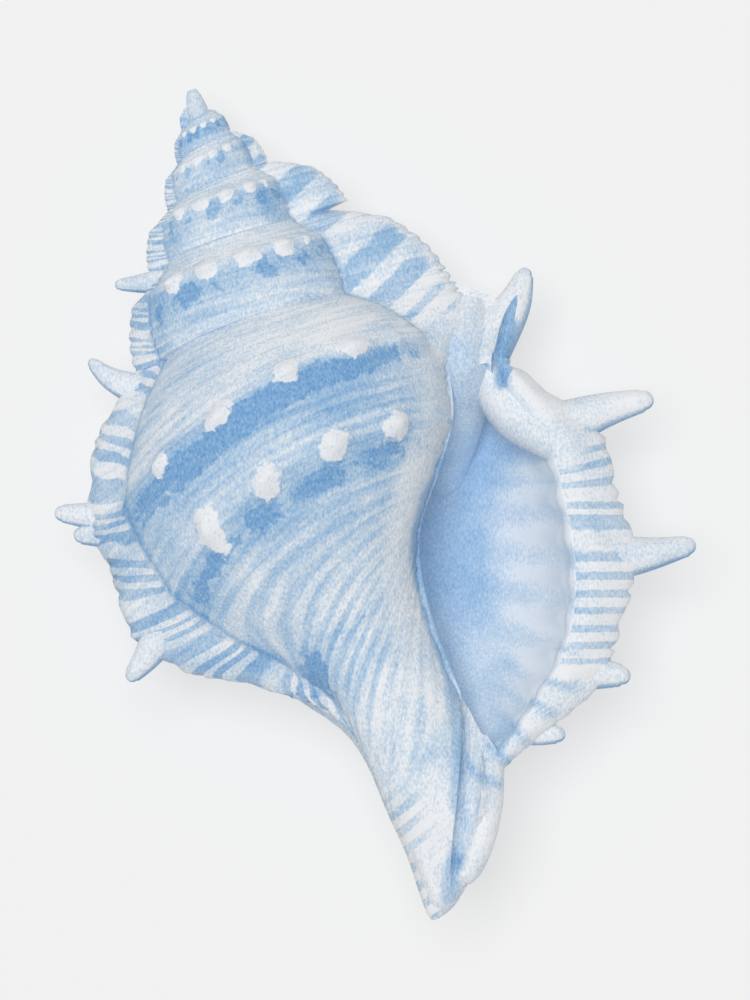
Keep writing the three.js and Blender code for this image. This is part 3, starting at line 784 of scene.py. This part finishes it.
# Blue dashes on the face of the lip: height in the frame and half width
LIP_DASHES = [
    (6.6, 0.3), (4.5, 0.35), (3.0, 0.35), (1.5, 0.3), (-0.6, 0.35), (-1.8, 0.9), (-5.9, 0.4), (-7.5, 0.45),
    (-9.4, 0.4), (-11.0, 0.35), (-12.8, 0.35), (-14.5, 0.4), (-16.0, 0.3), (-18.4, 0.3), (-21.5, 0.4),
    (-24.0, 0.4),
]

# Blue bands that slant across the fins on the right: x - y in the frame, and half width
FIN_BANDS = [
    (-53.0, 0.8), (-49.5, 0.9), (-46.0, 0.8), (-40.5, 1.8), (-33.8, 1.8), (-24.7, 1.6), (-19.2, 1.9),
    (-14.8, 0.5), (-11.6, 0.5),
]


def rise(values, start, end):
    """0 at start and 1 at end, straight between and level beyond. Start may lie past end."""
    return np.clip((values - start) / (end - start), 0, 1)


def by_table(values, table):
    """Values read off a table of places, in rising order, and what belongs to them."""
    return np.interp(values, *zip(*table))


def bands_at(places, bands):
    """Phase and bias that lay blue bands with these middles, in rising order, and half widths."""
    middles, halves = (np.array(values) for values in zip(*bands))
    gaps = np.diff(middles)
    spacing = (np.append(gaps[0], gaps) + np.append(gaps, gaps[-1])) / 2
    ends = np.concatenate([[middles[0] - 1], middles, [middles[-1] + 1]])
    counts = np.concatenate([[-0.5], np.arange(len(middles)), [len(middles) - 0.5]])
    return np.interp(places, ends, counts), np.interp(places, middles, -np.cos(TAU * halves / spacing))


def corner_values(mesh, label):
    values = np.empty(len(mesh.loops), np.float32)
    mesh.attributes[label].data.foreach_get("value", values)
    return values.astype(float)


class Corners:
    """Where each corner of the shell's faces lies in its growth and in the frame, in millimetres."""

    def __init__(self, mesh):
        self.turn, self.row, part = (corner_values(mesh, label) for label in ("turn", "row", "part"))
        self.part = np.round(part)
        places = np.empty(len(mesh.vertices) * 3)
        mesh.vertices.foreach_get("co", places)
        vertices = np.empty(len(mesh.loops), int)
        mesh.loops.foreach_get("vertex_index", vertices)
        place = places.reshape(-1, 3)[vertices] / MM
        self.x, self.y = place[:, 0], place[:, 1]
        self.right = (place - TIP) @ RIGHT
        self.in_front = (place - TIP) @ FRONT > -1
        self.outside = self.part == OUTSIDE
        self.lip = self.outside & (self.turn > LIP_START)
        self.ridge_away = np.abs((self.turn * 2 + 0.5) % 1 - 0.5) / 2
        self.left_edge = self.right_of(MOUTH_EDGE)

    def right_of(self, line):
        """How far to the right a line that runs down the frame passes at each corner's height."""
        return by_table(self.y, [(up, right) for right, up in reversed(line)])

    def away_from(self, line):
        """Distance from a line of points in the plane of the frame."""
        nearest = np.full(self.x.shape, 1e9)
        for (ax, ay), (bx, by) in zip(line, line[1:]):
            way = np.array([bx - ax, by - ay])
            share = np.clip(((self.x - ax) * way[0] + (self.y - ay) * way[1]) / (way @ way), 0, 1)
            passed = np.hypot(self.x - ax - share * way[0], self.y - ay - share * way[1])
            nearest = np.minimum(nearest, passed)
        return nearest

    def stroke(self, line, width, sharpness):
        """1 on a brush stroke along a line on the front, 0 beside it. A higher sharpness cuts its edges."""
        return np.exp(-((self.away_from(line) / width) ** sharpness)) * self.in_front


def lay_over(paint, share, blueness, bands=1.0, streaks=0.0):
    """Lays a colour over the paint by its share, and takes away these parts of the bands and streaks."""
    paint["wash"] = paint["wash"] * (1 - share) + blueness * share
    paint["contrast"] = paint["contrast"] * (1 - bands * share)
    paint["streaks"] = paint["streaks"] * (1 - streaks * share)


def repaint(paint, where, **values):
    """Puts new values in place of the paint's."""
    for label, value in values.items():
        paint[label] = np.where(where, value, paint[label])


def paint_whorls(at):
    """The first coat: washes, beads, pools of colour and the bands of cords and varices."""
    turn, row = at.turn, at.row
    on_last = turn > -1
    below_top = turn > -5
    wash = np.where(on_last, by_table(row, LAST_WASH), by_table(row, SPIRE_WASH))
    # Patches, the first two of them painted shade on the left flank of the last whorl
    for spot, reach, level, height, more in PATCHES:
        wash += more * bump(turn, spot, reach) * bump(row, level, height)

    spire_beads = bead_share(turn, UPPER_BEAD_START, PAINTED_BEAD_WIDTH) * bump(row, 2.0, 0.42)
    beads = np.where(on_last, last_beads(turn, row), spire_beads * between_varices(turn) * below_top)

    # Painted shade: pools of blue lie below each row of beads, and between the beads of the spire
    window = rise(at.ridge_away, SHADE_POOLS_START, SHADE_POOLS_START + 0.04)
    lower_bead_shade = 0.4 + 0.5 * bead_share(turn - 0.012, LOWER_BEAD_START, 0.02)
    shade_under_beads = np.maximum(
        bump(row, upper_bead_row(turn) + 0.42, 0.36) * 0.95, bump(row, LOWER_BEADS + 0.4, 0.24) * lower_bead_shade)
    gap = 1 - bead_share(turn - 0.01, UPPER_BEAD_START, 0.022)
    spread = 0.5 + 0.22 * np.sin(41 * turn) + 0.15 * np.sin(67 * turn + 1)
    spire_bead_shade = bump(row, 2.7, 0.6) * (0.25 + spread * gap)
    pooled_shade = np.where(on_last, shade_under_beads, spire_bead_shade) * window
    # Painted shade: a deep pool on the left of the base
    left_base_shade = 0.8 * bump(row, 6.45, 0.4) * bump(turn, -0.6, 0.09)
    pooled_shade = np.where(on_last & (row > 5.9) & (turn < -0.45), left_base_shade, pooled_shade)
    pooled_shade = np.where(on_last & (turn < -0.88), 0.45 * pooled_shade, pooled_shade)

    # Cords are white and their grooves blue, strongest across the varices and on the base
    varix = rise(at.ridge_away, VARIX_EDGE, VARIX_EDGE - 0.008) * below_top
    fin = (np.abs(turn - np.round(turn)) < 0.25) & (turn < -0.8)
    fin_phase, fin_bias = bands_at(at.x - at.y, FIN_BANDS)
    ribs = np.where(fin, fin_phase, rib_phase(turn, row) + 0.5)
    phase = np.where(varix > 0.01, ribs, drawn_row(turn, row) * BASE_CORDS + 0.5)
    bias = np.where(fin, fin_bias, 0.35 * np.sin(11 * row)) * varix
    uneven = 0.75 + 0.3 * np.sin(23 * turn + 2 * row)
    cord_contrast = 0.21 * by_table(row, CORD_CONTRAST) * on_last * uneven
    contrast = np.maximum((0.38 + 0.1 * np.sin(5 * row)) * varix * (row < CANAL_ROW - 0.1), cord_contrast)
    wash = wash * (1 - varix) + (0.35 * wash + 0.2) * varix
    # Painted shade: a blue line in the crease along each edge of a varix
    wash += 0.3 * bump(at.ridge_away, VARIX_CREASE, 0.004) * below_top * (row < 6)
    streaks = 0.27 + 0.05 * rise(row, 3, 5)

    # The fins on the right have a white rim
    rim = fin * rise(at.ridge_away, FIN_RIM + 0.005, FIN_RIM)
    wash *= 1 - 0.65 * rim
    contrast *= 1 - rim

    kept = at.outside & ~at.lip
    return {
        "wash": wash, "phase": phase, "bias": bias, "streaks": streaks, "beads": np.where(kept, beads, 0),
        "gloss": np.zeros_like(wash), "contrast": contrast, "pooled_shade": np.where(kept, pooled_shade, 0),
    }


def paint_front(at, paint):
    """Crescents on the left of the canal, the white inner lip and the glaze that spreads over the whorl."""
    turn, row, x, y = at.turn, at.row, at.x, at.y
    canal = at.outside & (row > CANAL_ROW) & (turn > -1)
    striped = 0.36 * rise(turn, CANAL_STRIPES, CANAL_STRIPES + 0.05) * rise(row, CANAL_ROW, CANAL_ROW + 0.4)
    crescents = (0.66 * x - 0.75 * y - 23) / 1.72
    repaint(paint, canal, phase=crescents, contrast=striped, wash=CANAL_BLUE, streaks=0.12)

    front = at.outside * at.in_front
    inner_lip = rise(at.away_from(LIP_LINE), 3.0, 1.8) * front * (turn < -0.8)
    lay_over(paint, inner_lip, INNER_LIP_BLUE, bands=0.8, streaks=0.6)

    glaze = rise(x - at.left_edge, -0.25, 0.25) * front * (turn < -0.85) * (turn > -1.02)
    glaze = glaze * rise(y, 5, 3) * rise(y, -20, -18)
    lay_over(paint, glaze, GLAZE_BLUE, streaks=0.8)
    paint["gloss"] = 0.8 * glaze


def paint_mouth(at, paint):
    """The face of the lip with its dashes, the mouth with its folds, the callus and the wall beside it."""
    x, y, lip = at.x, at.y, at.lip
    face = np.clip((at.turn - LIP_TURN) / FACE_TURN, 0, 9)
    down = 0.25 * (x - 19.5) * rise(y, 0, 4) - y
    dash_phase, dash_bias = bands_at(down, [(-height, half) for height, half in LIP_DASHES])
    fade = rise(face, 3.6, 2.7)
    repaint(paint, lip, phase=dash_phase, bias=dash_bias, contrast=0.36 * fade, wash=LIP_BLUE + 0.13 * fade,
            streaks=0.06)
    paint["contrast"] *= rise(np.abs(at.turn - LIP_START), 0, 0.004)

    # Deep blue on the left and pale towards the lip, with white folds that fan out downwards
    hollow = at.part == HOLLOW
    inward = x - at.left_edge
    deep = by_table(inward, MOUTH_WASH) - 0.36 * rise(y, -9, -17) * rise(inward, 0, 3)
    slant = np.minimum(rise(y, -5, -29), 0.7)
    height_of = y + slant * (x - FOLDS_RIGHT)
    fold = np.max([bump(height_of, height, FOLD_WIDTH) for height in MOUTH_FOLDS], axis=0)
    deep = deep + rise(x, 11.5, 14.5) * (0.2 * (1 - fold) - 0.16 * fold)
    over_callus = (y > by_table(x, WHITE_CALLUS) - 0.3) & (x > 11.4)
    deep = np.where(over_callus, UNDER_CALLUS_BLUE, deep)
    # The hollow is glossy, and its painted glow is strongest here
    repaint(paint, hollow, wash=deep, contrast=0, streaks=0.02, gloss=1)

    callus = rise(at.away_from(WHITE_CALLUS), 3.0, 2.0) * lip
    callus = np.where(at.part == CALLUS, 1, callus)
    lay_over(paint, callus, CALLUS_BLUE, streaks=0.9)
    wall = np.where(y > 5, rise(x, 10.4, 9.6), rise(inward, 2, 1.5)) * rise(y, -19, -17) * (lip & (face > 0))
    wall = np.where(at.part == MOUTH_WALL, 1, wall)
    lay_over(paint, wall, by_table(y, WALL_WASH), streaks=0.9)
    repaint(paint, (at.part == GROOVE) | (at.part == CALLUS), gloss=0.8)
    # The lower part of the wall beside the mouth is glossiest and glows a little, painted light like the
    # hollow's
    repaint(paint, at.part == MOUTH_WALL, gloss=0.8 + 0.2 * rise(y, 11, 6))


def paint_lines(at, paint):
    """Spines with painted shadow towards the canal, the two grooves, and the blue lines drawn on the front,
    of which the canal line and the posterior line are painted shade.
    """
    x, y = at.x, at.y
    spine, groove = at.part == SPINE, at.part == GROOVE
    # Painted shadow: blue on the side of each spine that faces the canal, and a little bluer at the point
    below = np.cos(at.row) * np.where(at.right > 0, 1, -1)
    shade = SPINE_BLUE + 0.55 * rise(below, 0.72, 0.92) + 0.12 * rise(at.turn, 0.9, 1)
    repaint(paint, spine, wash=shade, contrast=0, streaks=0.08)
    # Painted shade: the posterior groove turns deep blue towards its upper end
    posterior = POSTERIOR_BLUE + 0.6 * rise(y, 12.2, 15.2)
    repaint(paint, groove, wash=np.where(y > 0, posterior, GROOVE_BLUE), contrast=0)

    # The floor of the canal is white beside a blue line of painted shade along the canal's groove, which ends
    # in a deeper spot
    line_x = at.right_of(CANAL_LINE)
    floor = rise(x - line_x, 0, 0.6) * rise(y, -17.5, -18.5) * (at.outside | groove) * at.in_front
    lay_over(paint, floor * (at.turn < 0.9), CANAL_FLOOR_BLUE + 0.14 * bump(x, line_x, 2.2))
    lay_over(paint, at.stroke(CANAL_LINE, CANAL_LINE_WIDTH, 4) * (y < -17) * ~spine, CANAL_LINE_BLUE)
    spot = bump(np.hypot(x - CANAL_SPOT[0], y - CANAL_SPOT[1]), 0, 0.8) * at.in_front
    paint["wash"] += 0.4 * spot

    # Painted shade: the posterior groove runs down as a blue line between the callus and the lip
    lay_over(paint, at.stroke(POSTERIOR_LINE, NOTCH_WIDTH, 4), NOTCH_BLUE)
    for path in LOWER_FOLDS:
        lay_over(paint, at.stroke(path, FOLD_LINE_WIDTH, 2) * ~spine, FOLD_LINE_BLUE)


def flow_of(at):
    """Millimetres along the growth and across it, for streaks that follow the whorls and spines."""
    spine = at.part == SPINE
    growth = GROWTH ** (at.turn + 1)
    along = np.where(spine, at.turn * 10, TAU * MEAN_RADIUS * growth / math.log(GROWTH))
    rows = np.where(at.turn > -1, drawn_row(at.turn, at.row), at.row)
    across = np.where(spine, 2 * np.cos(at.row), rows * 5.5 * np.minimum(growth, 1))
    return np.column_stack([along, across, at.part * 10]).astype(np.float32)


def paint_shell(mesh):
    """Stores for each face corner how blue it is and how striped, from where it lies in the growth."""
    at = Corners(mesh)
    paint = paint_whorls(at)
    paint_front(at, paint)
    paint_mouth(at, paint)
    paint_lines(at, paint)
    mesh.attributes.new("flow", "FLOAT_VECTOR", "CORNER").data.foreach_set("vector", flow_of(at).ravel())
    for label, values in paint.items():
        mesh.attributes.new(label, "FLOAT", "CORNER").data.foreach_set("value", values.astype(np.float32))


class GrowShell(bpy.types.Operator):
    """Grows the whorls, opens the mouth, adds the spines and lays the shell on its back"""
    bl_idname = "frog_shell.grow"
    bl_label = "Grow the shell"

    def execute(self, context):
        shell = build_shell()
        bm = bmesh.new()
        bm.from_mesh(shell.data)
        lay_flat(bm)
        bmesh.ops.scale(bm, vec=(MM, MM, MM), verts=bm.verts)
        mesh = bpy.data.meshes.new("frog_shell")
        bm.to_mesh(mesh)
        bm.free()
        bpy.data.objects.remove(shell)
        piece = bpy.data.objects.new("frog_shell", mesh)
        context.scene.collection.objects.link(piece)
        mesh.set_sharp_from_angle(angle=math.radians(60))
        for polygon in mesh.polygons:
            polygon.use_smooth = True
        paint_shell(mesh)
        mesh.materials.append(shell_material())
        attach(piece, "root")
        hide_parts("shell")
        return {"FINISHED"}


# The floor, the light and the camera, in metres and degrees

VIEW_HEIGHT = 0.1
MIDDLE_DEPTH = 0.02
SENSOR = 36.0
# The floor lies just below the shell's worn flat, and glows a little so that it stays pale.
FLOOR_GAP = 0.00005
FLOOR_GLOW = 0.63
SKY_STRENGTH = 0.42
SUN_STRENGTH = 1.92
SUN_WIDTH = 24
SUN_LEAN = -6


class SetStage(bpy.types.Operator):
    """Makes the floor, the soft light and the camera straight above"""
    bl_idname = "frog_shell.stage"
    bl_label = "Set the stage"

    def execute(self, context):
        bm = bmesh.new()
        bmesh.ops.create_grid(bm, x_segments=1, y_segments=1, size=3)
        bmesh.ops.translate(bm, verts=bm.verts, vec=(0, 0, -FLOOR_GAP))
        floor = object_from(bm, "floor")
        material, tree = new_material("pale_paper")
        matt = add_node(tree, "ShaderNodeBsdfDiffuse", {"Color": linear("9A9A9A")})
        glow = add_node(tree, "ShaderNodeEmission", {
            "Color": linear(props().floor), "Strength": FLOOR_GLOW})
        both = add_node(tree, "ShaderNodeAddShader", {0: matt.outputs["BSDF"], 1: glow.outputs["Emission"]})
        add_node(tree, "ShaderNodeOutputMaterial", {"Surface": both.outputs["Shader"]})
        floor.data.materials.append(material)

        world = bpy.data.worlds.new("studio")
        world.use_nodes = True
        sky = world.node_tree.nodes["Background"].inputs
        sky["Color"].default_value = (1, 1, 1, 1)
        sky["Strength"].default_value = SKY_STRENGTH
        context.scene.world = world
        light = bpy.data.lights.new("soft_box", "SUN")
        light.angle = math.radians(SUN_WIDTH)
        light.energy = SUN_STRENGTH
        lamp = bpy.data.objects.new("soft_box", light)
        lamp.rotation_euler = (math.radians(SUN_LEAN), math.radians(SUN_LEAN), 0)
        context.scene.collection.objects.link(lamp)

        camera = bpy.data.cameras.new("camera")
        camera.lens = props().lens
        camera.sensor_width = SENSOR
        camera.clip_start = 0.01
        eye = bpy.data.objects.new("camera", camera)
        eye.location = (0, 0, MIDDLE_DEPTH + VIEW_HEIGHT * props().lens / SENSOR)
        context.scene.collection.objects.link(eye)
        context.scene.camera = eye
        context.scene.view_settings.view_transform = "Standard"
        return {"FINISHED"}


class FrogShellPanel(bpy.types.Panel):
    """Lists the sizes, the colours and the steps"""
    bl_idname = "VIEW3D_PT_frog_shell"
    bl_label = "Frog shell"
    bl_space_type = "VIEW_3D"
    bl_region_type = "UI"
    bl_category = "Frog shell"

    def draw(self, context):
        for name in ("relief", "white", "pale", "middle", "deep", "floor", "lens"):
            self.layout.prop(context.scene.frog_shell, name)
        self.layout.operator(GrowShell.bl_idname)
        self.layout.operator(SetStage.bl_idname)


CLASSES = (FrogShellSettings, GrowShell, SetStage, FrogShellPanel)


def register():
    for item in CLASSES:
        bpy.utils.register_class(item)
    bpy.types.Scene.frog_shell = bpy.props.PointerProperty(type=FrogShellSettings)


def unregister():
    del bpy.types.Scene.frog_shell
    for item in reversed(CLASSES):
        bpy.utils.unregister_class(item)


def main():
    register()
    bpy.ops.frog_shell.grow()
    bpy.ops.frog_shell.stage()


if __name__ == "__main__":
    main()
